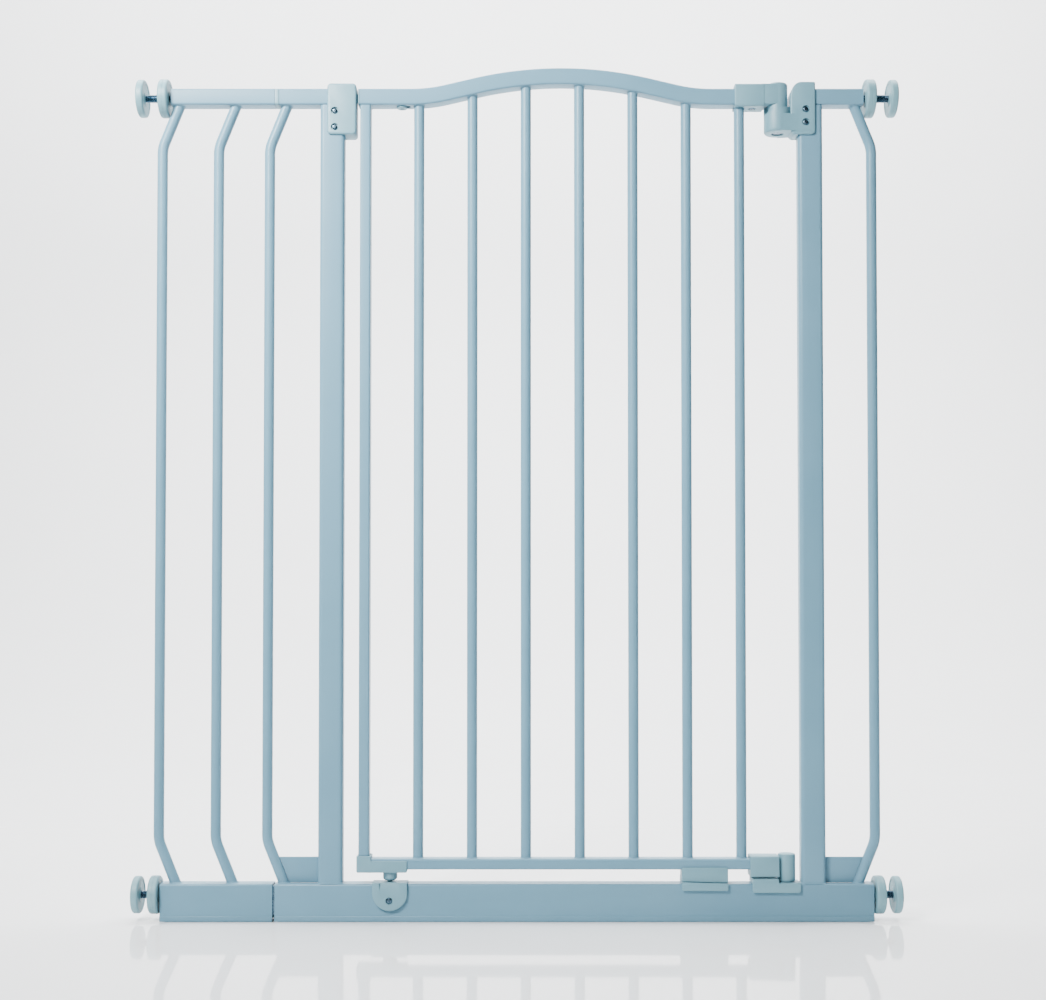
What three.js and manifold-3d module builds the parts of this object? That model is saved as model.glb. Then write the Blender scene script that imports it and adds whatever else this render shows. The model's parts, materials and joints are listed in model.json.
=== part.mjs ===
// A tall pressure-fit pet gate with an arched door and a side extension.
// Millimetres. The origin is on the floor under the middle of the gate, +X to the right as seen from
// the front, -Y to the front, +Z up. The door opens to the front and climbs a helical cam as it turns.
import * as THREE from 'three';
import { mergeVertices } from 'three/addons/utils/BufferGeometryUtils.js';
import Module from 'manifold-3d';

const wasm = await Module();
wasm.setup();

// ---------- Driving dimensions ----------

const gap = 0.3; // between pieces that touch
const wall = 1.5; // steel tube and sheet
const halfTurn = Math.PI;
const quarterTurn = Math.PI / 2;

// The overall size: from wall cup to wall cup, and from the floor to the flat part of the top rails.
const wallFaceX = 465;
const railTop = 1014.5;
const railSize = 20;
const railRadius = 2.5;
const railZ = railTop - railSize / 2;
const railBottom = railTop - railSize;

// The base channel, open downward, with a hem folded outward along each bottom edge.
const baseHeight = 45;
const baseHalfDepth = 12;
const baseRadius = 2.5;
const hemHeight = 6.5;
const hemStep = 1;
const baseEndX = 431.4;
const seamX = -294;
const seamWidth = 2.5;

// The uprights on each side of the doorway.
const uprightWidth = 30;
const uprightDepth = 20;
const uprightRadius = 5;
const leftUprightX = -226;
const rightUprightX = 359;

// The round bars, and the bend at each end of a side bar.
const barRadius = 6.35;
const barWall = 1.2;
const bendAngle = THREE.MathUtils.degToRad(22);
const bendRadius = 40;
const bendOffset = 20.5;
const sideBarX = {
  extension_outer_bar: -435.5,
  extension_inner_bar: -366.3,
  left_bent_bar: -303.7,
  right_bent_bar: 435.2,
};

// The top tubes of the frame end short of the wall cups.
const tubeEndX = 424;
const collarWidth = 5;

// The gusset plates between a side bar and its upright.
const gussetHeight = 31;
const gussetThickness = 2;

// The door.
const stileX = -185.5;
const stileWidth = 13;
const doorDepth = 20;
const railEndX = -193;
const bottomRailZ = 62;
const bottomRailHeight = 13;
const doorBarCount = 7;
const firstDoorBarX = -120.2;
const doorBarSpacing = 65.5;

// The arch of the door's top rail: a crown arc between two reverse arcs, joined by short straights.
const archX = 54;
const archRise = 25.5;
const archHalfSpan = 184;
const archSlope = THREE.MathUtils.degToRad(13.2);
const crownRadius = 460;

// The hinge axis, and the cam that lifts the door by camRise in half a turn.
const hingeX = 320;
const camRise = 12;
const camBottom = 982;
const camInnerRadius = 8.5;
const camClearance = 0.4;
const camStepAngle = THREE.MathUtils.degToRad(2);
const doorSwing = quarterTurn;

// The latch.
const latchTravel = 7;
const boltHeight = 10;
const boltDepth = 8;
const boltPlay = 0.5;
const receiverFaceX = -196.5;
const buttonX = -141.5;

// The locking pin in the door's foot, and the catch that takes it.
const pinX = -154;
const pinRadius = 2.75;
const catchX = -153.5;
const catchRadius = 21.3;
const catchTop = 46.8;

// The four adjusters.
const spindleRadius = 5;
const spindleLength = 68;
const wheelRadius = 23;
const wheelThickness = 11.6;
const upperWheelX = 438.2;
const lowerWheelX = 444.8;
const cupRadius = 22.5;
const cupThickness = 9;
const cupSocketDepth = 4;
const rimRadius = 2.4;
const upperSpindleZ = railZ;
const lowerSpindleZ = 30.5;

// ---------- Materials ----------

const paint = (name, color, roughness, metalness) =>
  new THREE.MeshStandardMaterial({ name, color, roughness, metalness });
const powderCoat = paint('powder_coated_steel', 0xa9bcc6, 0.42, 0.1);
const plastic = paint('grey_plastic', 0x9fb3ba, 0.5, 0);
const zinc = paint('zinc_steel', 0xaab2b8, 0.3, 1);
const darkSteel = paint('dark_steel', 0x2b3136, 0.4, 0.9);

const gate = new THREE.Group();

function piece(name, geometry, material) {
  const mesh = new THREE.Mesh(geometry, material);
  mesh.name = name;
  gate.add(mesh);
  return mesh;
}

// ---------- Outlines ----------

function roundedRectangle(width, height, radius, x = 0, y = 0) {
  const right = x + width / 2;
  const left = x - width / 2;
  const top = y + height / 2;
  const bottom = y - height / 2;
  const outline = new THREE.Shape();
  outline.moveTo(right, bottom + radius);
  outline.lineTo(right, top - radius);
  outline.absarc(right - radius, top - radius, radius, 0, quarterTurn);
  outline.lineTo(left + radius, top);
  outline.absarc(left + radius, top - radius, radius, quarterTurn, halfTurn);
  outline.lineTo(left, bottom + radius);
  outline.absarc(left + radius, bottom + radius, radius, halfTurn, 3 * quarterTurn);
  outline.lineTo(right - radius, bottom);
  outline.absarc(right - radius, bottom + radius, radius, 3 * quarterTurn, 2 * halfTurn);
  return outline;
}

function disc(radius, x = 0, y = 0) {
  return new THREE.Shape().absarc(x, y, radius, 0, 2 * halfTurn);
}

function hollow(outline, hole) {
  outline.holes.push(hole);
  return outline;
}

const squareTube = (width, depth, radius) => hollow(
  roundedRectangle(width, depth, radius),
  roundedRectangle(width - 2 * wall, depth - 2 * wall, Math.max(radius - wall, 0.5)),
);

const roundTube = radius => hollow(disc(radius), disc(radius - barWall));

// ---------- Solids ----------

// The world directions that an outline's own x, y and depth take.
const unitX = new THREE.Vector3(1, 0, 0);
const unitY = new THREE.Vector3(0, 1, 0);
const unitZ = new THREE.Vector3(0, 0, 1);
const turnedTo = {
  x: new THREE.Matrix4().makeBasis(unitY, unitZ, unitX),
  y: new THREE.Matrix4().makeBasis(unitX, unitZ, unitY.clone().negate()),
  z: new THREE.Matrix4(),
};

// An outline pulled from one place to another along an axis. Along x the outline is drawn in (y, z),
// along y in (x, z), and along z in (x, y). Each arc of the outline gets twice curveSegments chords.
function pull(outline, axis, from, to, curveSegments = 1) {
  const settings = { depth: to - from, bevelEnabled: false, curveSegments };
  const geometry = new THREE.ExtrudeGeometry(outline, settings);
  geometry.translate(0, 0, axis === 'y' ? -to : from);
  return geometry.applyMatrix4(turnedTo[axis]);
}

function block(x0, x1, y0, y1, z0, z1) {
  const geometry = new THREE.BoxGeometry(x1 - x0, y1 - y0, z1 - z0);
  return geometry.translate((x0 + x1) / 2, (y0 + y1) / 2, (z0 + z1) / 2);
}

const rod = (axis, radius, from, to, a, b, sides = 16) =>
  pull(disc(radius, a, b), axis, from, to, sides / 2);

// A lathe turned about +Z from a closed list of [radius, height] points.
function turned(profile, segments = 20) {
  const points = profile.map(([radius, height]) => new THREE.Vector2(radius, height));
  const geometry = new THREE.LatheGeometry([...points, points[0].clone()], segments);
  return geometry.rotateX(quarterTurn);
}

function toSolid(geometry) {
  const bare = geometry.clone().deleteAttribute('normal').deleteAttribute('uv');
  const merged = mergeVertices(bare, 1e-4);
  const mesh = new wasm.Mesh({
    numProp: 3,
    vertProperties: merged.attributes.position.array,
    triVerts: Uint32Array.from(merged.index.array),
  });
  return new wasm.Manifold(mesh);
}

function toGeometry(solid) {
  const mesh = solid.getMesh();
  const geometry = new THREE.BufferGeometry();
  geometry.setAttribute('position', new THREE.BufferAttribute(mesh.vertProperties, 3));
  geometry.setIndex(new THREE.BufferAttribute(mesh.triVerts, 1));
  geometry.computeVertexNormals();
  return geometry;
}

// Joins some geometries and cuts others away.
function carve(joined, cut) {
  let solid = joined.map(toSolid).reduce((sum, next) => sum.add(next));
  for (const tool of cut) {
    solid = solid.subtract(toSolid(tool));
  }
  return toGeometry(solid);
}

// ---------- Paths in the XZ plane ----------

// A path drawn by a turtle that stands at (x, z) and faces along an angle from +X toward +Z. It keeps
// a station only where the path starts, ends or turns, and a tube along it has one ring per station.
class TurtlePath extends THREE.Curve {
  constructor(x, z, heading) {
    super();
    this.heading = heading;
    this.place = new THREE.Vector3(x, 0, z);
    this.stations = [];
    this.mark();
  }

  mark() {
    this.stations.push({ point: this.place.clone(), tangent: this.facing() });
  }

  facing() {
    return new THREE.Vector3(Math.cos(this.heading), 0, Math.sin(this.heading));
  }

  forward(length) {
    this.place.addScaledVector(this.facing(), length);
    this.mark();
    return this;
  }

  // Turns left for a positive angle and right for a negative one.
  turn(radius, angle, steps) {
    const side = Math.sign(angle);
    for (let step = 0; step < steps; step += 1) {
      const chordHeading = this.heading + angle / steps / 2;
      const chord = 2 * radius * Math.sin((side * angle) / steps / 2);
      this.place.x += chord * Math.cos(chordHeading);
      this.place.z += chord * Math.sin(chordHeading);
      this.heading += angle / steps;
      this.mark();
    }
    return this;
  }

  get steps() {
    return this.stations.length - 1;
  }

  getSpacedPoints() {
    return this.stations.map(station => station.point);
  }

  getTangentAt(u) {
    return this.stations[Math.round(u * this.steps)].tangent.clone();
  }
}

function sweep(outline, path, curveSegments) {
  const settings = { steps: path.steps, extrudePath: path, bevelEnabled: false, curveSegments };
  return new THREE.ExtrudeGeometry(outline, settings);
}

// ---------- Frame ----------

// The section of a channel, drawn in (y, z).
function channelSection(halfDepth, bottom, top, radius, hem) {
  const corner = halfDepth - radius;
  const inner = halfDepth - wall;
  const outline = new THREE.Shape();
  outline.moveTo(halfDepth + hem, bottom);
  outline.lineTo(halfDepth + hem, bottom + hemHeight - hem);
  outline.lineTo(halfDepth, bottom + hemHeight);
  outline.lineTo(halfDepth, top - radius);
  outline.absarc(corner, top - radius, radius, 0, quarterTurn);
  outline.lineTo(-corner, top);
  outline.absarc(-corner, top - radius, radius, quarterTurn, halfTurn);
  outline.lineTo(-halfDepth, bottom + hemHeight);
  outline.lineTo(-halfDepth - hem, bottom + hemHeight - hem);
  outline.lineTo(-halfDepth - hem, bottom);
  outline.lineTo(-inner, bottom);
  outline.lineTo(-inner, top - wall);
  outline.lineTo(inner, top - wall);
  outline.lineTo(inner, bottom);
  return outline;
}

const screwShank = 2;
const screwHoleRadius = screwShank + gap;
const catchScrewZ = 25.5;
const hingePinRadius = 4;
const hingeBoreRadius = hingePinRadius + gap;

function makeBase() {
  const section = channelSection(baseHalfDepth, 0, baseHeight, baseRadius, hemStep);
  const main = pull(section, 'x', seamX + seamWidth / 2, baseEndX);
  const holes = [
    rod('z', pinRadius + 1.6, baseHeight - 5, baseHeight + 5, pinX, 0),
    rod('z', hingeBoreRadius, baseHeight - 5, baseHeight + 5, hingeX, 0),
    rod('y', screwHoleRadius, -baseHalfDepth - 5, -baseHalfDepth + 5, pinX, catchScrewZ, 12),
  ];
  piece('base_channel', carve([main], holes), powderCoat);
  piece('extension_base_channel', pull(section, 'x', -baseEndX, seamX - seamWidth / 2), powderCoat);

  const fit = wall + gap;
  const slider = channelSection(baseHalfDepth - fit, 8, baseHeight - fit, baseRadius - 1.5, 0);
  piece('base_connector', pull(slider, 'x', seamX - 45, seamX + 45), zinc);
}

// The screws that hold the two upper fittings to the front of the uprights.
const receiverScrews = { x: -222.8, z: [986, 966] };
const bracketScrews = { x: 353, z: [988, 972] };

function makeUprights() {
  const bottom = baseHeight + gap;
  const top = railBottom - gap;
  const upright = (name, x, screws) => {
    const section = squareTube(uprightWidth, uprightDepth, uprightRadius);
    const tube = pull(section, 'z', bottom, top, 2).translate(x, 0, 0);
    const front = -uprightDepth / 2;
    const holes = screws.z.map(z => rod('y', screwHoleRadius, front - 2, front + 3, screws.x, z, 12));
    piece(name, carve([tube], holes), powderCoat);
  };
  upright('left_upright', leftUprightX, receiverScrews);
  upright('right_upright', rightUprightX, bracketScrews);
}

const leftArmEndX = leftUprightX + uprightWidth / 2 - 2;
const rightArmEndX = rightUprightX - uprightWidth / 2 + 2;

function makeTopTubes() {
  const tube = (name, from, to) => {
    const section = squareTube(railSize, railSize, railRadius);
    piece(name, pull(section, 'x', from, to).translate(0, 0, railZ), powderCoat);
  };
  tube('extension_top_tube', -tubeEndX, seamX - collarWidth / 2 - gap);
  tube('left_arm_tube', seamX + collarWidth / 2 + gap, leftArmEndX);
  tube('right_arm_tube', rightArmEndX, tubeEndX);

  // The connector is a plug in both tubes with a collar between them.
  const plugSize = railSize - 2 * wall - 2 * gap;
  const plugReach = 40;
  const plug = pull(roundedRectangle(plugSize, plugSize, 1), 'x', seamX - plugReach, seamX + plugReach);
  const collarSection = roundedRectangle(railSize, railSize, railRadius);
  const collar = pull(collarSection, 'x', seamX - collarWidth / 2, seamX + collarWidth / 2);
  piece('top_connector', carve([plug, collar], []).translate(0, 0, railZ), plastic);

  for (const [side, sign] of [['left', -1], ['right', 1]]) {
    const [start, end] = [sign * (tubeEndX - 14), sign * (tubeEndX - 1)].sort((a, b) => a - b);
    const endPlug = pull(roundedRectangle(plugSize, plugSize, 1, 0, railZ), 'x', start, end);
    const bore = rod('x', spindleRadius + gap, start - 1, end + 1, 0, railZ);
    piece(`spindle_plug_${side}`, carve([endPlug], [bore]), plastic);
  }
}

// A side bar runs straight between two bends that bring both of its ends toward the doorway.
function makeSideBars() {
  const bottom = baseHeight + gap;
  const top = railBottom - gap;
  const arcDepth = bendRadius * (1 - Math.cos(bendAngle));
  const legLength = (bendOffset - arcDepth) / Math.sin(bendAngle);
  const bendHeight = bendRadius * Math.sin(bendAngle) + legLength * Math.cos(bendAngle);
  for (const [name, x] of Object.entries(sideBarX)) {
    const outward = Math.sign(x);
    const spare = barRadius * Math.tan(bendAngle);
    const path = new TurtlePath(x - outward * bendOffset, bottom, quarterTurn - outward * bendAngle);
    path.place.addScaledVector(path.facing(), -spare);
    path.stations[0].point.copy(path.place);
    path.forward(legLength + spare);
    path.turn(bendRadius, outward * bendAngle, 4);
    path.forward(top - bottom - 2 * bendHeight);
    path.turn(bendRadius, outward * bendAngle, 4);
    path.forward(legLength + spare);
    const trims = [
      block(x - 60, x + 60, -20, 20, bottom - 20, bottom),
      block(x - 60, x + 60, -20, 20, top, top + 20),
    ];
    piece(name, carve([sweep(roundTube(barRadius), path, 9)], trims), powderCoat);
  }
}

// A gusset stands between the upright and the lower leg of the nearest side bar.
function makeGussets() {
  const bottom = baseHeight + gap;
  for (const [side, barX, uprightX] of [
    ['left', sideBarX.left_bent_bar, leftUprightX],
    ['right', sideBarX.right_bent_bar, rightUprightX],
  ]) {
    const outward = Math.sign(barX);
    const inner = uprightX + outward * (uprightWidth / 2 + gap);
    const footX = barX - outward * bendOffset;
    const reach = barRadius / Math.cos(bendAngle) + gap;
    const foot = footX - outward * reach;
    const outline = new THREE.Shape();
    outline.moveTo(inner, bottom);
    outline.lineTo(foot, bottom);
    outline.lineTo(foot + outward * gussetHeight * Math.tan(bendAngle), bottom + gussetHeight);
    outline.lineTo(inner, bottom + gussetHeight);
    piece(`${side}_gusset`, pull(outline, 'y', -gussetThickness / 2, gussetThickness / 2), powderCoat);
  }
}

// ---------- Screws ----------

const screwHeadRadius = 3.2;
const screwHeadHeight = 1.4;

// A pan-head screw whose shank runs along +Z from the underside of its head at the origin.
function makeScrew(name, headRadius, length) {
  const profile = [
    [0, -screwHeadHeight],
    [headRadius - 0.4, -screwHeadHeight],
    [headRadius, 0],
    [screwShank, 0],
    [screwShank, length],
    [0, length],
  ];
  return piece(name, turned(profile, 12), zinc);
}

// ---------- Latch receiver and top hinge bracket ----------

const fittingHalfDepth = 13;
const fittingBottom = 957;

const screwRecess = (x, z, front) => [
  rod('y', screwHeadRadius + 0.5, front - 1, front + 1.7, x, z, 14),
  rod('y', screwHoleRadius, front, front + 5, x, z, 12),
];

// The hollow that a fitting leaves round the top of an upright and the tube that lies on it.
const uprightPocket = (x0, x1) => [
  block(x0, x1, -uprightDepth / 2 - gap, uprightDepth / 2 + gap, fittingBottom - 10, railBottom),
  block(x0, x1, -railSize / 2 - gap, railSize / 2 + gap, railBottom - gap, railTop + gap),
];

function fixToUpright(screws, side) {
  const names = ['upper', 'lower'];
  screws.z.forEach((z, index) => {
    const screw = makeScrew(`${side}_screw_${names[index]}`, screwHeadRadius, 8);
    screw.rotation.x = -quarterTurn;
    screw.position.set(screws.x, -fittingHalfDepth + 1.7 - gap / 2, z);
  });
}

// The passage that the latch bolt slides in.
const boltSlot = (x0, x1) => {
  const section = roundedRectangle(boltDepth + 2 * boltPlay, boltHeight + 2 * boltPlay, boltPlay);
  return pull(section, 'x', x0, x1).translate(0, 0, railZ);
};

function makeReceiver() {
  const left = -232;
  const top = 1020;
  const width = receiverFaceX - left;
  const height = top - fittingBottom;
  const outline = roundedRectangle(width, height, 4, left + width / 2, fittingBottom + height / 2);
  const body = pull(outline, 'y', -fittingHalfDepth, fittingHalfDepth, 2);
  const pocketEnd = leftUprightX + uprightWidth / 2 + gap;
  const slot = boltSlot(pocketEnd + 2, receiverFaceX + 5);
  const recesses = receiverScrews.z.flatMap(z => screwRecess(receiverScrews.x, z, -fittingHalfDepth));
  piece('latch_receiver', carve([body], [...uprightPocket(left - 5, pocketEnd), slot, ...recesses]), plastic);
  fixToUpright(receiverScrews, 'receiver');
}

const lowerKnuckleRadius = 16.5;
const upperKnuckleRadius = 12.5;
const knuckleBottom = 961;

// One ramp of the cam: a ring sector between a level plane and a surface that rises with the angle
// round the hinge. The plane may lie under the helix or over it.
function camRamp(radius, startAngle, endAngle, planeZ, helixBottom) {
  const steps = 12;
  const ramp = new THREE.BoxGeometry(1, 1, 1, steps, 1, 1).translate(0.5, 0.5, 0.5);
  const place = ramp.attributes.position;
  const helixAbove = planeZ < helixBottom;
  const fullStart = Math.floor(startAngle / halfTurn) * halfTurn;
  for (let index = 0; index < place.count; index += 1) {
    const angle = startAngle + place.getX(index) * (endAngle - startAngle);
    const reach = camInnerRadius + (1 - place.getY(index)) * (radius - camInnerRadius);
    const helix = helixBottom + (camRise * (angle - fullStart)) / halfTurn;
    const onTop = place.getZ(index) > 0.5;
    const height = onTop === helixAbove ? helix : planeZ;
    place.setXYZ(index, hingeX + reach * Math.cos(angle), reach * Math.sin(angle), height);
  }
  return ramp;
}

// The bracket's front outline: its top left corner is a quarter ellipse beside the turning knuckle.
function bracketOutline() {
  const left = 334.2;
  const right = 364.6;
  const top = 1021.8;
  const cornerWidth = 13;
  const cornerHeight = 19;
  const radius = 5;
  const outline = new THREE.Shape();
  outline.moveTo(left, knuckleBottom);
  outline.lineTo(left + 4, fittingBottom);
  outline.lineTo(right - radius, fittingBottom);
  outline.absarc(right - radius, fittingBottom + radius, radius, -quarterTurn, 0);
  outline.lineTo(right, top - 2);
  outline.absarc(right - 2, top - 2, 2, 0, quarterTurn);
  outline.lineTo(left + cornerWidth, top);
  const cornerX = left + cornerWidth;
  const cornerZ = top - cornerHeight;
  outline.absellipse(cornerX, cornerZ, cornerWidth, cornerHeight, quarterTurn, halfTurn);
  return outline;
}

function makeTopHingeBracket() {
  const body = [
    pull(bracketOutline(), 'y', -fittingHalfDepth, fittingHalfDepth, 3),
    rod('z', lowerKnuckleRadius, knuckleBottom, camBottom, hingeX, 0, 32),
    block(hingeX, 335.2, -fittingHalfDepth - 1.5, fittingHalfDepth + 1.5, knuckleBottom, camBottom),
    camRamp(lowerKnuckleRadius, 0, halfTurn, camBottom - 4, camBottom),
    camRamp(lowerKnuckleRadius, halfTurn, 2 * halfTurn, camBottom - 4, camBottom),
  ];
  const pocketStart = rightUprightX - uprightWidth / 2 - gap;
  const cuts = [
    ...uprightPocket(pocketStart, 380),
    rod('z', hingeBoreRadius, knuckleBottom - 5, camBottom + 20, hingeX, 0),
    rod('z', 7.6, knuckleBottom - 5, knuckleBottom + 5, hingeX, 0),
    ...bracketScrews.z.flatMap(z => screwRecess(bracketScrews.x, z, -fittingHalfDepth)),
  ];
  piece('top_hinge_bracket', carve(body, cuts), plastic);
  fixToUpright(bracketScrews, 'bracket');
}

// ---------- Fittings on the base ----------

const plateFront = -baseHalfDepth - 3.5;
const plateBack = -baseHalfDepth - gap;
const onBase = baseHeight + gap;

const lowerHousingX = 327.4;
const lowerHousingRadius = 10.6;
const lowerHousingBottom = 47.2;
const hingeBaseLedge = 46.7;
const hingeBaseTop = 51.5;

function makeBottomHingeBase() {
  const left = 284;
  const right = 342.5;
  const bottom = 35;
  const stepX = 316;
  const back = baseHalfDepth;
  const body = [
    block(left, right, plateFront, plateBack, bottom, hingeBaseLedge),
    block(left, right, plateFront, back, onBase, hingeBaseLedge),
    block(left, stepX, plateFront, back, onBase, hingeBaseTop),
  ];
  // The housing above turns and climbs, and it sweeps the side of the raised step while it is still low.
  const clearance = 0.7;
  const sweptSteps = 4;
  const swept = [];
  for (let step = 0; step <= sweptSteps; step += 1) {
    const angle = (doorSwing * step) / sweptSteps;
    const offset = lowerHousingX - hingeX;
    const x = hingeX + offset * Math.cos(angle);
    const y = offset * Math.sin(angle);
    swept.push(rod('z', lowerHousingRadius + clearance, hingeBaseLedge, hingeBaseTop + 5, x, y));
  }
  const bore = rod('z', hingeBoreRadius, onBase - 5, hingeBaseTop + 5, hingeX, 0);
  piece('bottom_hinge_base', carve(body, [...swept, bore]), plastic);
}

function makeLowerCatch() {
  const front = plateFront - 0.5;
  const centreZ = 34.8;
  const outline = new THREE.Shape();
  outline.moveTo(catchX + catchRadius, catchTop);
  outline.lineTo(catchX - catchRadius, catchTop);
  outline.absarc(catchX, centreZ, catchRadius, halfTurn, 2 * halfTurn);
  const body = [
    pull(outline, 'y', front, plateBack, 8),
    block(catchX - catchRadius, catchX + catchRadius, plateBack - 1, 7, onBase, catchTop),
  ];
  // The lead-in lifts the sprung pin as the door closes.
  const rampHalfWidth = 12;
  const ramp = new THREE.Shape();
  ramp.moveTo(front - 1, 38);
  ramp.lineTo(front, 38);
  ramp.lineTo(plateBack, catchTop);
  ramp.lineTo(plateBack, catchTop + 1);
  ramp.lineTo(front - 1, catchTop + 1);
  const cuts = [
    pull(ramp, 'x', pinX - rampHalfWidth, pinX + rampHalfWidth),
    rod('z', pinRadius + 0.7, onBase - 5, catchTop + 5, pinX, 0),
    rod('y', 4.3, front - 1, front + 2.4, pinX, catchScrewZ, 14),
    rod('y', screwHoleRadius, front, plateBack + 1, pinX, catchScrewZ, 12),
  ];
  piece('lower_catch', carve(body, cuts), plastic);
  const screw = makeScrew('catch_screw', 3.8, 9);
  screw.rotation.x = -quarterTurn;
  screw.position.set(pinX, front + 2.4 - gap / 2, catchScrewZ);
}

// The two stop blocks meet at a slight slope when the door is shut. The lower one has a lip behind
// the upper one, which keeps the door from swinging back through the gate.
const stopLeft = 199;
const stopRight = 255;
const stopSlopeLeft = 47.6;
const stopSlopeRight = 46.1;
const stopClearance = 0.6;
const lipFront = 9;

// A block between x limits with one sloped level face, drawn in (x, z).
function slopedBlock(y0, y1, leftZ, rightZ, flatZ) {
  const outline = new THREE.Shape();
  const [lowLeft, highLeft] = [leftZ, flatZ].sort((a, b) => a - b);
  const [lowRight, highRight] = [rightZ, flatZ].sort((a, b) => a - b);
  outline.moveTo(stopLeft, lowLeft);
  outline.lineTo(stopRight, lowRight);
  outline.lineTo(stopRight, highRight);
  outline.lineTo(stopLeft, highLeft);
  return pull(outline, 'y', y0, y1);
}

function makeStopBlocks() {
  const lower = [
    slopedBlock(plateFront, baseHalfDepth, stopSlopeLeft, stopSlopeRight, onBase),
    slopedBlock(plateFront, plateBack, stopSlopeLeft, stopSlopeRight, 37.4),
    block(stopLeft, stopRight, lipFront, baseHalfDepth, onBase, 53),
  ];
  piece('lower_stop_block', carve(lower, []), plastic);

  const underRail = bottomRailZ - gap;
  const front = -doorDepth / 2 - 2.5;
  const leftZ = stopSlopeLeft + stopClearance;
  const rightZ = stopSlopeRight + stopClearance;
  const upper = [
    slopedBlock(front, lipFront - 1, leftZ, rightZ, underRail),
    block(stopLeft, stopRight, front, -doorDepth / 2 - gap, underRail - 5, 64.8),
  ];
  piece('upper_stop_block', carve(upper, []), plastic);
}

// ---------- Door ----------

// The centre line of the door's top rail, from the latch end to the end inside the hinge sleeve.
function topRailPath(startX, endX) {
  const crownHalf = crownRadius * Math.sin(archSlope);
  const crownDrop = crownRadius * (1 - Math.cos(archSlope));
  const restX = archHalfSpan - crownHalf;
  const restZ = archRise - crownDrop;
  const sine = Math.sin(archSlope);
  const cosine = Math.cos(archSlope);
  // The reverse arc and the straight must together cover restX across and restZ up.
  const straight = (restZ * sine - restX * (1 - cosine)) / (sine * sine - cosine * (1 - cosine));
  const reverseRadius = (restX - straight * cosine) / sine;
  const path = new TurtlePath(startX, railZ, 0);
  path.forward(archX - archHalfSpan - startX);
  path.turn(reverseRadius, archSlope, 4);
  path.forward(straight);
  path.turn(crownRadius, -2 * archSlope, 12);
  path.forward(straight);
  path.turn(reverseRadius, archSlope, 4);
  path.forward(endX - archX - archHalfSpan);
  return path;
}

const sleevePocketX = 297;
const sleeveScrewX = 289;

function makeDoorFrame() {
  const path = topRailPath(railEndX, sleevePocketX - gap);
  const rail = sweep(squareTube(railSize, railSize, railRadius), path, 1);
  const slotHalf = 3.4;
  const slotEndX = buttonX + latchTravel + slotHalf;
  const cuts = [
    block(buttonX - slotHalf, slotEndX, -slotHalf, slotHalf, railBottom - 5, railBottom + 5),
    rod('z', screwHoleRadius, railBottom - 5, railBottom + 5, sleeveScrewX, 0, 12),
  ];
  piece('door_top_rail', carve([rail], cuts), powderCoat);

  const capFace = railEndX - gap;
  const plugSize = railSize - 2 * wall - 2 * gap;
  const cap = [
    pull(roundedRectangle(railSize, railSize, railRadius, 0, railZ), 'x', capFace - 1.2, capFace),
    pull(roundedRectangle(plugSize, plugSize, 1, 0, railZ), 'x', capFace - 0.6, capFace + 8),
  ];
  piece('rail_end_cap', carve(cap, [boltSlot(capFace - 5, capFace + 12)]), plastic);

  const stile = squareTube(stileWidth, doorDepth, railRadius);
  piece('door_stile', pull(stile, 'z', bottomRailZ, railBottom - gap).translate(stileX, 0, 0), powderCoat);

  const start = stileX + stileWidth / 2 + gap;
  const bottomRail = pull(squareTube(doorDepth, bottomRailHeight, railRadius), 'x', start, 300);
  bottomRail.translate(0, 0, bottomRailZ + bottomRailHeight / 2);
  const pinHole = rod('z', pinRadius + 0.6, bottomRailZ - 5, bottomRailZ + 5, pinX, 0, 12);
  piece('door_bottom_rail', carve([bottomRail], [pinHole]), powderCoat);
}

function makeDoorBars() {
  const size = railSize + 2 * gap;
  const railPath = topRailPath(railEndX, sleevePocketX);
  const railSpace = sweep(roundedRectangle(size, size, railRadius), railPath, 1);
  const bottom = bottomRailZ + bottomRailHeight + gap;
  for (let index = 0; index < doorBarCount; index += 1) {
    const x = firstDoorBarX + index * doorBarSpacing;
    const bar = pull(roundTube(barRadius), 'z', bottom, railZ + archRise, 9).translate(x, 0, 0);
    piece(`door_bar_${index + 1}`, lowestPart(carve([bar], [railSpace])), powderCoat);
  }
}

// A bar that is cut by the rail keeps only the part under it.
function lowestPart(geometry) {
  const parts = toSolid(geometry).decompose();
  const bottomOf = part => part.boundingBox().min[2];
  return toGeometry(parts.reduce((best, next) => (bottomOf(next) < bottomOf(best) ? next : best)));
}

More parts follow.
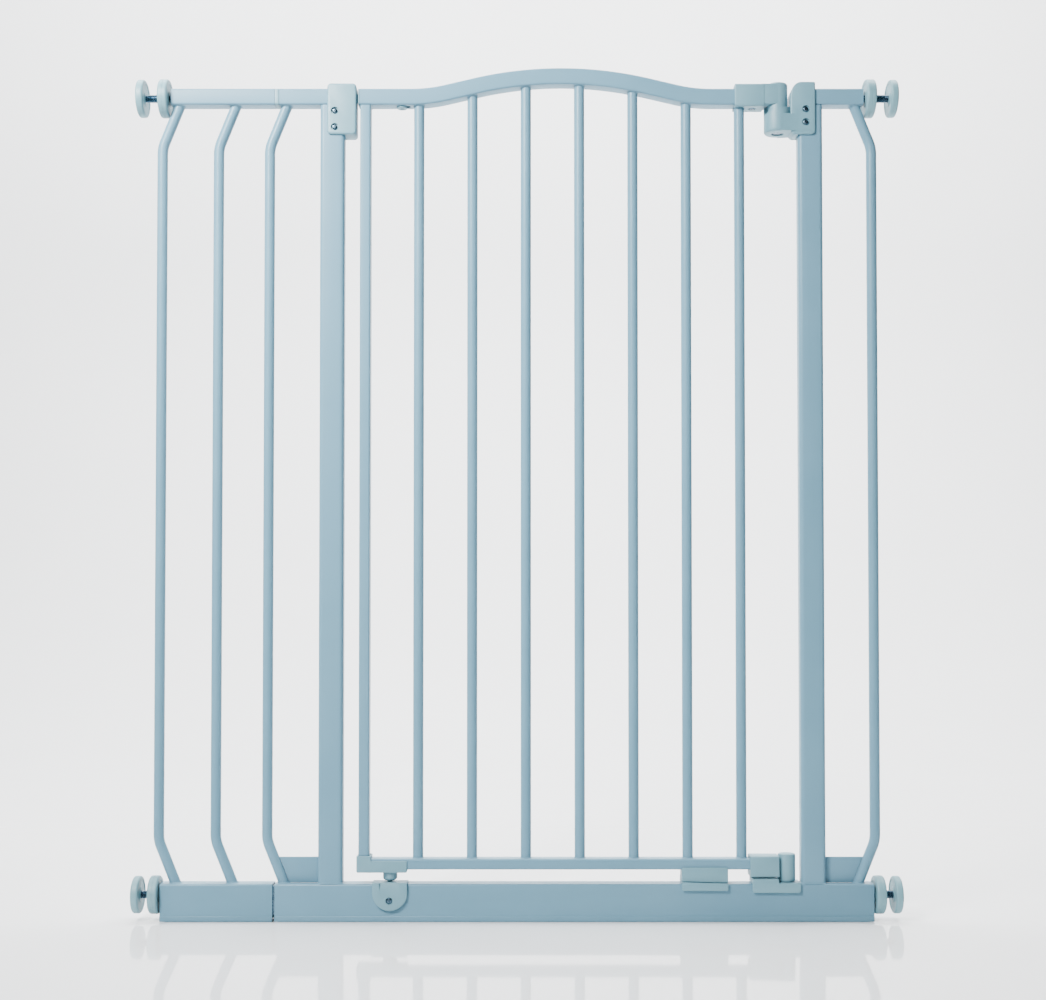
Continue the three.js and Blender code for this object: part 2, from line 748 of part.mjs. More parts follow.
function makeTopHingeSleeve() {
  const left = 266.3;
  const top = 1019.5;
  const bottom = railBottom - gap - 2.2;
  const neckX = hingeX - lowerKnuckleRadius - 1;
  const camTop = camBottom + camRise;
  const helix = camBottom + camClearance;
  const sleeveSection = roundedRectangle(2 * fittingHalfDepth, top - bottom, 1.5, 0, (top + bottom) / 2);
  const body = [
    pull(sleeveSection, 'x', left, neckX),
    block(neckX - 1, hingeX, -upperKnuckleRadius, upperKnuckleRadius, camTop + 0.6, top),
    rod('z', upperKnuckleRadius, camTop + 1, 1022, hingeX, 0, 28),
    camRamp(upperKnuckleRadius, camStepAngle, halfTurn, camTop + 3, helix),
    camRamp(upperKnuckleRadius, halfTurn + camStepAngle, 2 * halfTurn, camTop + 3, helix),
  ];
  const inner = railSize / 2 + gap;
  const lastBarX = firstDoorBarX + (doorBarCount - 1) * doorBarSpacing;
  const cuts = [
    block(left - 5, sleevePocketX, -inner, inner, railZ - inner, railZ + inner),
    rod('z', barRadius + gap, bottom - 5, railZ, lastBarX, 0, 18),
    rod('z', hingeBoreRadius, camBottom - 5, 1018, hingeX, 0),
    rod('z', screwHeadRadius + 0.5, bottom - 1, bottom + 1.2, sleeveScrewX, 0, 14),
    rod('z', screwHoleRadius, bottom, railBottom + 2, sleeveScrewX, 0, 12),
  ];
  piece('top_hinge_sleeve', carve(body, cuts), plastic);
  const screw = makeScrew('sleeve_screw', screwHeadRadius, 8);
  screw.position.set(sleeveScrewX, 0, bottom + 1.2 - gap / 2);
}

function makeBottomHingeKnuckle() {
  const left = 282;
  const bottom = 53;
  const top = 78.5;
  const section = roundedRectangle(2 * fittingHalfDepth - 1, top - bottom, 1.5, 0, (top + bottom) / 2);
  const inner = doorDepth / 2 + gap;
  const body = [
    pull(section, 'x', left, hingeX - 3),
    rod('z', lowerHousingRadius, lowerHousingBottom, top + 2, lowerHousingX, 0, 24),
  ];
  const cuts = [
    block(left - 5, 300 + gap, -inner, inner, bottomRailZ - gap, bottomRailZ + bottomRailHeight + gap),
    rod('z', hingeBoreRadius, bottom - 10, 77, hingeX, 0),
  ];
  piece('bottom_hinge_knuckle', carve(body, cuts), plastic);
}

// A tray that holds the corner of the door's stile and bottom rail, with the foot under it.
function makeCornerBracket() {
  const left = -194;
  const right = -133;
  const bottom = 58.7;
  const halfDepth = doorDepth / 2 + 2;
  const inner = doorDepth / 2 + gap;
  const stileLeft = stileX - stileWidth / 2 - gap;
  const stileRight = stileX + stileWidth / 2 + gap;
  const body = [
    block(left, right, -halfDepth, halfDepth, bottom, 72.4),
    block(left, stileRight + 2, -halfDepth, halfDepth, bottom, 78.6),
  ];
  const floor = bottomRailZ - gap;
  const cuts = [
    block(stileLeft, right + 5, -inner, inner, floor, bottomRailZ + bottomRailHeight + gap),
    block(stileLeft, stileRight, -inner, inner, floor, 90),
    rod('z', pinRadius + gap, bottom - 5, floor + 5, pinX, 0),
  ];
  piece('corner_bracket', carve(body, cuts), plastic);

  const hole = pinRadius + gap;
  const footTop = bottom - gap;
  const radius = 8.7;
  const dome = [];
  for (let step = 0; step <= 3; step += 1) {
    const angle = (quarterTurn * step) / 3;
    dome.push([5 + 3.7 * Math.cos(angle), 52 - 3.8 * Math.sin(angle)]);
  }
  const foot = turned([[hole, footTop], [hole, 48.2], ...dome.reverse(), [radius, footTop]], 18);
  piece('locking_foot', foot.translate(pinX, 0, 0), plastic);
}

// ---------- Pins and latch ----------

function makeHingePins() {
  const headBottom = knuckleBottom + 1;
  const headTop = headBottom + 3.6;
  const pinTop = headBottom + 50;
  const topPin = turned([
    [0, headBottom],
    [7, headBottom],
    [7, headTop],
    [hingePinRadius, headTop],
    [hingePinRadius, pinTop],
    [0, pinTop],
  ], 16);
  piece('top_hinge_pin', topPin.translate(hingeX, 0, 0), zinc);
  piece('bottom_hinge_pin', rod('z', hingePinRadius, 37, 70, hingeX, 0), zinc);
}

function makeLatch() {
  const boltTip = receiverFaceX - latchTravel + 1;
  const boltEnd = buttonX + 8;
  const bolt = pull(roundedRectangle(boltDepth, boltHeight, 0.8, 0, railZ), 'x', boltTip, boltEnd);
  const shankRadius = 3;
  const button = turned([
    [0, 992],
    [4.6, 992],
    [6, 992.6],
    [6.5, 993.6],
    [6.5, railBottom - gap],
    [shankRadius, railBottom - gap],
    [shankRadius, railZ],
    [0, railZ],
  ], 20);
  const recess = rod('z', 2.2, 990, 993.2, buttonX, 0, 10);
  piece('latch_slide', carve([bolt, button.translate(buttonX, 0, 0)], [recess]), plastic);

  const pin = turned([[0, 43], [1.6, 43], [pinRadius, 44.2], [pinRadius, 66], [0, 66]], 14);
  piece('locking_pin', pin.translate(pinX, 0, 0), darkSteel);
}

// ---------- Adjusters ----------

// The rim of a disc between two heights, rounded along both edges, as [radius, height] points.
function rimPoints(radius, low, high) {
  const stepsPerEdge = 2;
  const points = [];
  for (const [edgeHeight, startAngle] of [[low + rimRadius, -quarterTurn], [high - rimRadius, 0]]) {
    for (let step = 0; step <= stepsPerEdge; step += 1) {
      const angle = startAngle + (quarterTurn * step) / stepsPerEdge;
      points.push([radius - rimRadius * (1 - Math.cos(angle)), edgeHeight + rimRadius * Math.sin(angle)]);
    }
  }
  return points;
}

// Each adjuster is turned about +Z with its wall face at height zero, then laid along X.
function makeAdjuster(corner, sign, z, wheelOuterX) {
  const bore = spindleRadius + gap;
  const cup = [
    [0, 0],
    ...rimPoints(cupRadius, 0, cupThickness),
    [bore, cupThickness],
    [bore, cupSocketDepth],
    [0, cupSocketDepth],
  ];
  const spindleStart = cupSocketDepth + gap;
  const spindleEnd = spindleStart + spindleLength;
  const spindle = [
    [0, spindleStart],
    [spindleRadius, spindleStart],
    [spindleRadius, spindleEnd],
    [0, spindleEnd],
  ];
  const wheelStart = wallFaceX - wheelOuterX;
  const wheelEnd = wheelStart + wheelThickness;
  const wheel = [[bore, wheelStart], ...rimPoints(wheelRadius, wheelStart, wheelEnd), [bore, wheelEnd]];
  const lay = geometry => geometry.rotateY(-sign * quarterTurn).translate(sign * wallFaceX, 0, z);
  piece(`wall_cup_${corner}`, lay(turned(cup, 24)), plastic);
  piece(`spindle_${corner}`, lay(turned(spindle, 16)), zinc);
  piece(`wheel_${corner}`, lay(turned(wheel, 24)), plastic);
}

makeBase();
makeUprights();
makeTopTubes();
makeSideBars();
makeGussets();
makeReceiver();
makeTopHingeBracket();
makeBottomHingeBase();
makeLowerCatch();
makeStopBlocks();
makeDoorFrame();
makeDoorBars();
makeTopHingeSleeve();
makeBottomHingeKnuckle();
makeCornerBracket();
makeHingePins();
makeLatch();
for (const [side, sign] of [['left', -1], ['right', 1]]) {
  makeAdjuster(`top_${side}`, sign, upperSpindleZ, upperWheelX);
  makeAdjuster(`bottom_${side}`, sign, lowerSpindleZ, lowerWheelX);
}

export default gate;
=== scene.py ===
"""The looks of the pet gate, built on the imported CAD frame.

Lengths are in millimetres in the frame's axes (+X right, -Y front, +Z up), and turned into metres
when a mesh is made. Extents come from the CAD nodes' boxes wherever a piece has one of its own.
"""

import json
import math

import bmesh
import bpy
from mathutils import Matrix, Vector


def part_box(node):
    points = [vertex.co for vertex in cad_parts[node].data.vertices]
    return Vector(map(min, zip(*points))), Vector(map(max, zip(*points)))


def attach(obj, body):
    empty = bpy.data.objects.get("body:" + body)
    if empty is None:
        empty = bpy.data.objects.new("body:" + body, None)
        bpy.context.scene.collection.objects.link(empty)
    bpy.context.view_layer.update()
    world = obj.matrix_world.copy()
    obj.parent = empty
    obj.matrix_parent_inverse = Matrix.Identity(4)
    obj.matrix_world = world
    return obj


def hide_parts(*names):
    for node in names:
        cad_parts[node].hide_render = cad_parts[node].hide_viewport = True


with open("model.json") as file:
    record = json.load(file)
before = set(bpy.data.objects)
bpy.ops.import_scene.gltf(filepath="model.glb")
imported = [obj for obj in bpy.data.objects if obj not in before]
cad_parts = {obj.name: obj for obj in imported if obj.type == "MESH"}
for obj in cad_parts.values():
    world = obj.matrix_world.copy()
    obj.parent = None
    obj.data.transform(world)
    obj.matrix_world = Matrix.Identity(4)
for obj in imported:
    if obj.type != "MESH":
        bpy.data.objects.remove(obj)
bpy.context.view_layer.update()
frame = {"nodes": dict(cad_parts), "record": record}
scene = bpy.context.scene

MM = 0.001
QUARTER = math.pi / 2
CORNERS = ("top_left", "bottom_left", "top_right", "bottom_right")
BODY_OF = {node: body for body, nodes in frame["record"]["behaviour"]["bodies"].items() for node in nodes}
SLOT_OF = {part["node"]: part["material_slot"] for part in frame["record"]["subparts"]}


# ---------- Shapes ----------

def box_mm(node):
    low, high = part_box(node)
    return low / MM, high / MM


def middle_of(node):
    low, high = box_mm(node)
    return (low + high) / 2


def rounded(width, height, radius, u=0.0, v=0.0, steps=6):
    """The outline of a rounded rectangle, counter-clockwise."""
    reach_u = width / 2 - radius
    reach_v = height / 2 - radius
    corners = ((reach_u, reach_v), (-reach_u, reach_v), (-reach_u, -reach_v), (reach_u, -reach_v))
    points = []
    for index, (corner_u, corner_v) in enumerate(corners):
        for step in range(steps + 1):
            angle = QUARTER * (index + step / steps)
            points.append((u + corner_u + radius * math.cos(angle), v + corner_v + radius * math.sin(angle)))
    return points


def circle(radius, u=0.0, v=0.0, steps=48, stretch=1.0):
    angles = [2 * math.pi / steps * i for i in range(steps)]
    return [(u + radius * stretch * math.cos(a), v + radius * math.sin(a)) for a in angles]


def arc(radius, u, v, start, end, steps):
    angles = [start + (end - start) * i / steps for i in range(steps + 1)]
    return [(u + radius * math.cos(a), v + radius * math.sin(a)) for a in angles]


TO_WORLD = {
    "x": lambda u, v, t: Vector((t, u, v)),
    "y": lambda u, v, t: Vector((u, t, v)),
    "z": lambda u, v, t: Vector((u, v, t)),
}


def ring(outline, axis, place):
    return [TO_WORLD[axis](u, v, place) for u, v in outline]


def skin(rings, cyclic=False):
    """A closed surface over rings of equal length. A cyclic one closes on itself, as a tube's wall does."""
    bm = bmesh.new()
    rows = [[bm.verts.new(point) for point in points] for points in rings]
    pairs = list(zip(rows, rows[1:]))
    if cyclic:
        pairs.append((rows[-1], rows[0]))
    else:
        bm.faces.new(rows[0])
        bm.faces.new(rows[-1])
    for near, far in pairs:
        for i in range(len(near)):
            j = (i + 1) % len(near)
            bm.faces.new((near[i], near[j], far[j], far[i]))
    return bm


def shade(obj, angle=35.0):
    """Smooth shading that keeps edges sharper than the angle."""
    obj.data.polygons.foreach_set("use_smooth", [True] * len(obj.data.polygons))
    obj.data.set_sharp_from_angle(angle=math.radians(angle))
    return obj


def as_object(name, bm):
    bmesh.ops.recalc_face_normals(bm, faces=bm.faces)
    bm.transform(Matrix.Scale(MM, 4))
    mesh = bpy.data.meshes.new(name)
    bm.to_mesh(mesh)
    bm.free()
    obj = bpy.data.objects.new(name, mesh)
    scene.collection.objects.link(obj)
    return shade(obj)


def soften(bm, radius, segments=3):
    """Rounds every edge that turns by more than 40 degrees."""
    sharp = [edge for edge in bm.edges if edge.calc_face_angle(0) > math.radians(40)]
    bmesh.ops.bevel(
        bm,
        geom=sharp,
        offset=radius,
        segments=segments,
        profile=0.5,
        affect="EDGES",
        clamp_overlap=True,
    )
    return bm


def prism(outline, axis, start, end, edge=0.0, name="tool"):
    bm = skin([ring(outline, axis, start), ring(outline, axis, end)])
    bmesh.ops.recalc_face_normals(bm, faces=bm.faces)
    if edge:
        soften(bm, edge)
    return as_object(name, bm)


def block(low, high, edge=0.0, name="tool"):
    outline = [(low[0], low[1]), (high[0], low[1]), (high[0], high[1]), (low[0], high[1])]
    return prism(outline, "z", low[2], high[2], edge, name)


def lathe(profile, axis, u=0.0, v=0.0, steps=56, cyclic=False, name="tool"):
    """A profile of (radius, place) points turned about an axis line. Ends off the axis are capped flat."""
    return as_object(name, skin([ring(circle(r, u, v, steps), axis, t) for r, t in profile], cyclic))


def bake(obj, tools, operation):
    """Joins solids to obj or cuts them out of it, and drops the tools."""
    for tool in tools:
        modifier = obj.modifiers.new("carve", "BOOLEAN")
        modifier.operation = operation
        modifier.solver = "EXACT"
        modifier.object = tool
    evaluated = obj.evaluated_get(bpy.context.evaluated_depsgraph_get())
    mesh = bpy.data.meshes.new_from_object(evaluated)
    obj.modifiers.clear()
    obj.data = mesh
    for tool in tools:
        bpy.data.objects.remove(tool)
    return shade(obj)


def join(obj, *tools):
    return bake(obj, tools, "UNION")


def cut(obj, *tools):
    return bake(obj, tools, "DIFFERENCE")


# ---------- Materials ----------

def node_tree(name):
    material = bpy.data.materials.new(name)
    material.use_nodes = True
    tree = material.node_tree
    return material, tree, tree.nodes["Principled BSDF"]


def noise(tree, scale, detail=3.0, roughness=0.55):
    """A noise in the row frame, with its scale in cells per metre."""
    coordinates = tree.nodes.new("ShaderNodeTexCoord")
    texture = tree.nodes.new("ShaderNodeTexNoise")
    texture.inputs["Scale"].default_value = scale
    texture.inputs["Detail"].default_value = detail
    texture.inputs["Roughness"].default_value = roughness
    tree.links.new(coordinates.outputs["Object"], texture.inputs["Vector"])
    return texture.outputs["Fac"]


def spread(tree, value, low, high):
    """Stretches the middle of a noise to the range from low to high."""
    remap = tree.nodes.new("ShaderNodeMapRange")
    remap.inputs["From Min"].default_value = 0.3
    remap.inputs["From Max"].default_value = 0.7
    remap.inputs["To Min"].default_value = low
    remap.inputs["To Max"].default_value = high
    tree.links.new(value, remap.inputs["Value"])
    return remap.outputs["Result"]


def mottle(tree, shader, value, dark, light):
    mix = tree.nodes.new("ShaderNodeMix")
    mix.data_type = "RGBA"
    mix.inputs["A"].default_value = (*dark, 1)
    mix.inputs["B"].default_value = (*light, 1)
    tree.links.new(value, mix.inputs["Factor"])
    tree.links.new(mix.outputs["Result"], shader.inputs["Base Color"])


def relief(tree, shader, heights):
    """Bumps that add up, each given as (height, strength, depth in metres)."""
    previous = None
    for height, strength, depth in heights:
        bump = tree.nodes.new("ShaderNodeBump")
        bump.inputs["Strength"].default_value = strength
        bump.inputs["Distance"].default_value = depth
        tree.links.new(height, bump.inputs["Height"])
        if previous:
            tree.links.new(previous, bump.inputs["Normal"])
        previous = bump.outputs["Normal"]
    tree.links.new(previous, shader.inputs["Normal"])


def powder_coat_material():
    """Satin powder coat: a soft orange peel, with slow changes of gloss and shade along the steel."""
    material, tree, shader = node_tree("powder_coat")
    mottle(tree, shader, spread(tree, noise(tree, 9), 0, 1), (0.115, 0.245, 0.33), (0.13, 0.265, 0.352))
    tree.links.new(spread(tree, noise(tree, 240), 0.3, 0.4), shader.inputs["Roughness"])
    relief(tree, shader, [(noise(tree, 620, 1.0), 0.25, 0.00012), (noise(tree, 3400, 2.0), 0.2, 0.00002)])
    shader.inputs["Specular IOR Level"].default_value = 0.22
    return material


def plastic_material(name, dark, light, grain):
    """Moulded plastic with a fine spark-eroded grain."""
    material, tree, shader = node_tree(name)
    mottle(tree, shader, spread(tree, noise(tree, 25), 0, 1), dark, light)
    tree.links.new(spread(tree, noise(tree, 900), 0.4, 0.52), shader.inputs["Roughness"])
    relief(tree, shader, [(noise(tree, grain, 2.0), 0.3, 0.00004)])
    shader.inputs["IOR"].default_value = 1.49
    return material


def zinc_painted_reflection_material():
    """Zinc plate: brushed fine and duller in patches. Its dark blue base colour is a painted dark reflection
    of the room in front, far darker than zinc's own tone.
    """
    material, tree, shader = node_tree("zinc")
    # Painted reflection: both base colours are dark blue, standing in for the dark room that the zinc
    # mirrors.
    mottle(tree, shader, spread(tree, noise(tree, 160), 0, 1), (0.05, 0.1, 0.14), (0.13, 0.2, 0.26))
    tree.links.new(spread(tree, noise(tree, 700), 0.2, 0.36), shader.inputs["Roughness"])
    relief(tree, shader, [(noise(tree, 5200, 2.0), 0.25, 0.00002)])
    shader.inputs["Metallic"].default_value = 1.0
    return material


def dark_steel_material():
    material, tree, shader = node_tree("dark_steel")
    mottle(tree, shader, spread(tree, noise(tree, 300), 0, 1), (0.02, 0.024, 0.028), (0.05, 0.056, 0.062))
    tree.links.new(spread(tree, noise(tree, 1100), 0.28, 0.42), shader.inputs["Roughness"])
    relief(tree, shader, [(noise(tree, 4200), 0.2, 0.00002)])
    shader.inputs["Metallic"].default_value = 0.9
    return material


MATERIALS = {
    "powder_coat": powder_coat_material(),
    "grey_plastic": plastic_material("grey_plastic", (0.125, 0.265, 0.325), (0.142, 0.29, 0.35), 2600),
    "adjuster_plastic": plastic_material("adjuster_plastic", (0.135, 0.28, 0.33), (0.16, 0.315, 0.365), 1500),
    "zinc": zinc_painted_reflection_material(),
    "dark_steel": dark_steel_material(),
}


def finish_piece(obj, node):
    """Gives a new piece the material of its CAD node's slot and the body of the CAD node that it stands for.
    """
    obj.name = f"{node}_look"
    obj.data.materials.clear()
    obj.data.materials.append(MATERIALS[SLOT_OF[node]])
    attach(obj, BODY_OF[node])
    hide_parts(node)
    return obj


def finish_cad_nodes():
    """CAD nodes that show as they are get their material and smooth shading."""
    for node, obj in frame["nodes"].items():
        obj.data.materials.clear()
        obj.data.materials.append(MATERIALS[SLOT_OF[node]])
        shade(obj, 40)


# ---------- Paths in the XZ plane ----------

class Turtle:
    """Stations along a path of straights and arcs, each as (x, z, heading from +X toward +Z)."""

    def __init__(self, x, z, heading):
        self.x, self.z, self.heading = x, z, heading
        self.stations = [(x, z, heading)]

    def forward(self, length, steps=1):
        for _ in range(steps):
            self.x += length / steps * math.cos(self.heading)
            self.z += length / steps * math.sin(self.heading)
            self.stations.append((self.x, self.z, self.heading))

    def turn(self, radius, angle, steps):
        """Turns left for a positive angle."""
        share = angle / steps
        chord = 2 * radius * math.sin(abs(share) / 2)
        for _ in range(steps):
            self.x += chord * math.cos(self.heading + share / 2)
            self.z += chord * math.sin(self.heading + share / 2)
            self.heading += share
            self.stations.append((self.x, self.z, self.heading))


def swept_ring(section, station):
    """A section drawn in (y, up) stood across the path at a station."""
    x, z, heading = station
    return [Vector((x - v * math.sin(heading), u, z + v * math.cos(heading))) for u, v in section]


def cut_level(points, heading, level):
    """Slides a ring's points along the path's heading until they all lie at one height."""
    slope = math.cos(heading) / math.sin(heading)
    return [Vector((p.x + (level - p.z) * slope, p.y, level)) for p in points]


# ---------- Steel ----------

WALL = 1.5
BAR_WALL = 1.2
BAR_RADIUS = 6.35
RAIL_RADIUS = 2.5
UPRIGHT_RADIUS = 5.0
BEND_ANGLE = math.radians(22)
BEND_RADIUS = 40.0
BEND_OFFSET = 20.5
SCREW_HOLE = 2.3
HINGE_BORE = 4.3
HINGE_X = middle_of("top_hinge_pin").x
BUTTON_FROM_BOLT_END = 8.0

rail_low, rail_high = box_mm("door_top_rail")
RAIL_SIZE = rail_high.y - rail_low.y
RAIL_Z = rail_low.z + RAIL_SIZE / 2
BASE_TOP = box_mm("base_channel")[1].z

# The arch, as the CAD draws it: a crown arc between two reverse arcs, joined by short straights.
ARCH_X = 54.0
ARCH_HALF_SPAN = 184.0
ARCH_SLOPE = math.radians(13.2)
CROWN_RADIUS = 460.0
ARCH_RISE = rail_high.z - RAIL_SIZE / 2 - RAIL_Z


def top_rail_stations():
    sine, cosine = math.sin(ARCH_SLOPE), math.cos(ARCH_SLOPE)
    rest_x = ARCH_HALF_SPAN - CROWN_RADIUS * sine
    rest_z = ARCH_RISE - CROWN_RADIUS * (1 - cosine)
    straight = (rest_z * sine - rest_x * (1 - cosine)) / (sine * sine - cosine * (1 - cosine))
    reverse = (rest_x - straight * cosine) / sine
    path = Turtle(rail_low.x, RAIL_Z, 0.0)
    path.forward(ARCH_X - ARCH_HALF_SPAN - rail_low.x)
    path.turn(reverse, ARCH_SLOPE, 12)
    path.forward(straight)
    path.turn(CROWN_RADIUS, -2 * ARCH_SLOPE, 48)
    path.forward(straight)
    path.turn(reverse, ARCH_SLOPE, 12)
    path.forward(rail_high.x - ARCH_X - ARCH_HALF_SPAN)
    return path.stations


RAIL_STATIONS = top_rail_stations()


def rail_underside(x):
    """The height of the top rail's underside at x."""
    for (x0, z0, h0), (x1, z1, h1) in zip(RAIL_STATIONS, RAIL_STATIONS[1:]):
        if x <= x1:
            share = (x - x0) / (x1 - x0)
            heading = h0 + share * (h1 - h0)
            return z0 + share * (z1 - z0) - RAIL_SIZE / 2 / math.cos(heading)
    return RAIL_Z - RAIL_SIZE / 2


def wall_sections(width, height, radius, wall, u=0.0, v=0.0):
    inner_radius = max(radius - wall, 0.6)
    outer = rounded(width, height, radius, u, v)
    inner = rounded(width - 2 * wall, height - 2 * wall, inner_radius, u, v)
    return outer, inner


def straight_tube(node, axis, radius):
    """A rectangular tube as long and as wide as its CAD node."""
    low, high = box_mm(node)
    spans = {"x": (1, 2, 0), "z": (0, 1, 2)}[axis]
    u, v, along = spans
    size = high - low
    middle = (high + low) / 2
    outer, inner = wall_sections(size[u], size[v], radius, WALL, middle[u], middle[v])
    rings = [ring(outer, axis, low[along]), ring(outer, axis, high[along])]
    rings += [ring(inner, axis, high[along]), ring(inner, axis, low[along])]
    return as_object(node, skin(rings, cyclic=True))


def top_rail():
    outer, inner = wall_sections(RAIL_SIZE, RAIL_SIZE, RAIL_RADIUS, WALL)
    rings = [swept_ring(outer, station) for station in RAIL_STATIONS]
    rings += [swept_ring(inner, station) for station in reversed(RAIL_STATIONS)]
    rail = as_object("rail", skin(rings, cyclic=True))
    shank = 3.4
    travel = 7.0
    button_x = box_mm("latch_slide")[1].x - BUTTON_FROM_BOLT_END
    floor = rail_low.z
    slot = block((button_x - shank, -shank, floor - 2), (button_x + travel + shank, shank, floor + 4))
    hole = prism(circle(SCREW_HOLE, middle_of("sleeve_screw").x), "z", floor - 2, floor + 4)
    return cut(rail, slot, hole)


def door_bottom_rail():
    """The lower rail, with the hole in its underside that the door pin runs in."""
    underside = box_mm("door_bottom_rail")[0].z
    hole = prism(circle(3.35, middle_of("locking_pin").x), "z", underside - 2, underside + 5)
    return cut(straight_tube("door_bottom_rail", "x", RAIL_RADIUS), hole)


def door_bar(node):
    """A round bar whose top follows the underside of the rail."""
    low, high = box_mm(node)
    x = (low.x + high.x) / 2
    outer, inner = circle(BAR_RADIUS, x, 0), circle(BAR_RADIUS - BAR_WALL, x, 0)

    def coped(outline):
        return [Vector((u, v, rail_underside(u) - 0.05)) for u, v in outline]

    rings = [ring(outer, "z", low.z), coped(outer), coped(inner), ring(inner, "z", low.z)]
    return as_object(node, skin(rings, cyclic=True)), x


def bent_bar(node):
    """A side bar: straight between two bends that bring its ends toward the doorway."""
    low, high = box_mm(node)
    outward = 1 if low.x > 0 else -1
    straight_x = high.x - BAR_RADIUS if outward > 0 else low.x + BAR_RADIUS
    foot_x = straight_x - outward * BEND_OFFSET
    leg = (BEND_OFFSET - BEND_RADIUS * (1 - math.cos(BEND_ANGLE))) / math.sin(BEND_ANGLE)
    bend_height = BEND_RADIUS * math.sin(BEND_ANGLE) + leg * math.cos(BEND_ANGLE)
    path = Turtle(foot_x, low.z, QUARTER - outward * BEND_ANGLE)
    path.forward(leg)
    path.turn(BEND_RADIUS, outward * BEND_ANGLE, 12)
    path.forward(high.z - low.z - 2 * bend_height)
    path.turn(BEND_RADIUS, outward * BEND_ANGLE, 12)
    path.forward(leg)

    def rings_of(radius):
        section = circle(radius)
        rings = [swept_ring(section, station) for station in path.stations]
        rings[0] = cut_level(rings[0], path.stations[0][2], low.z)
        rings[-1] = cut_level(rings[-1], path.stations[-1][2], high.z)
        return rings

    rings = rings_of(BAR_RADIUS) + rings_of(BAR_RADIUS - BAR_WALL)[::-1]
    return as_object(node, skin(rings, cyclic=True)), foot_x


def channel_outline(high, hem_height=6.5, hem=1.0, radius=2.5):
    """The section of the base channel in (y, z): open downward, with a hem folded out at each foot."""
    half = high.y - hem
    inner = half - WALL
    right = [(half + hem, 0), *arc(hem, half, hem_height - hem, 0, QUARTER, 4)]
    right += arc(radius, half - radius, high.z - radius, 0, QUARTER, 6)
    roof = arc(radius - WALL, inner - radius + WALL, high.z - radius, 0, QUARTER, 4)
    outer = right + [(-u, v) for u, v in reversed(right)]
    hollow = [(-inner, 0)] + [(-u, v) for u, v in roof] + [*reversed(roof)] + [(inner, 0)]
    return outer + hollow


def base_channel(node):
    low, high = box_mm(node)
    channel = prism(channel_outline(high), "x", low.x, high.x, 0.5)
    if node != "base_channel":
        return channel
    pin_x = middle_of("locking_pin").x
    hinge_x = middle_of("bottom_hinge_pin").x
    return cut(
        channel,
        prism(circle(4.35, pin_x), "z", BASE_TOP - 4, BASE_TOP + 4),
        prism(circle(HINGE_BORE, hinge_x), "z", BASE_TOP - 4, BASE_TOP + 4),
        prism(circle(SCREW_HOLE, pin_x, middle_of("catch_screw").z), "y", -20, -5),
    )


def upright(node, screws):
    """An upright with the screw holes of its top fitting."""
    tube = straight_tube(node, "z", UPRIGHT_RADIUS)
    tools = []
    for screw in screws:
        at = middle_of(screw)
        tools.append(prism(circle(SCREW_HOLE, at.x, at.z), "y", -14, -5))
    return cut(tube, *tools)


def weld_bead(outline, surface, direction, size=1.5, ripples=9):
    """A rippled fillet round an outline of (x, y) points where it meets a surface of height surface(x)."""
    count = len(outline)
    rings = []
    for i, (x, y) in enumerate(outline):
        (xa, ya), (xb, yb) = outline[i - 1], outline[(i + 1) % count]
        across = Vector((yb - ya, xa - xb)).normalized()
        width = size * (1 + 0.1 * math.sin(ripples * 2 * math.pi * i / count))
        waist = 0.42 * width
        loop = []
        for out, up in ((-0.25, -0.1), (width, -0.1), (waist, waist), (0.0, width), (-0.25, width)):
            px, py = x + out * across.x, y + out * across.y
            loop.append(Vector((px, py, surface(px) + direction * up)))
        rings.append(loop)
    return skin(rings, cyclic=True)


def join_meshes(name, parts):
    whole = bmesh.new()
    for part in parts:
        mesh = bpy.data.meshes.new("part")
        part.to_mesh(mesh)
        part.free()
        whole.from_mesh(mesh)
        bpy.data.meshes.remove(mesh)
    return as_object(name, whole)


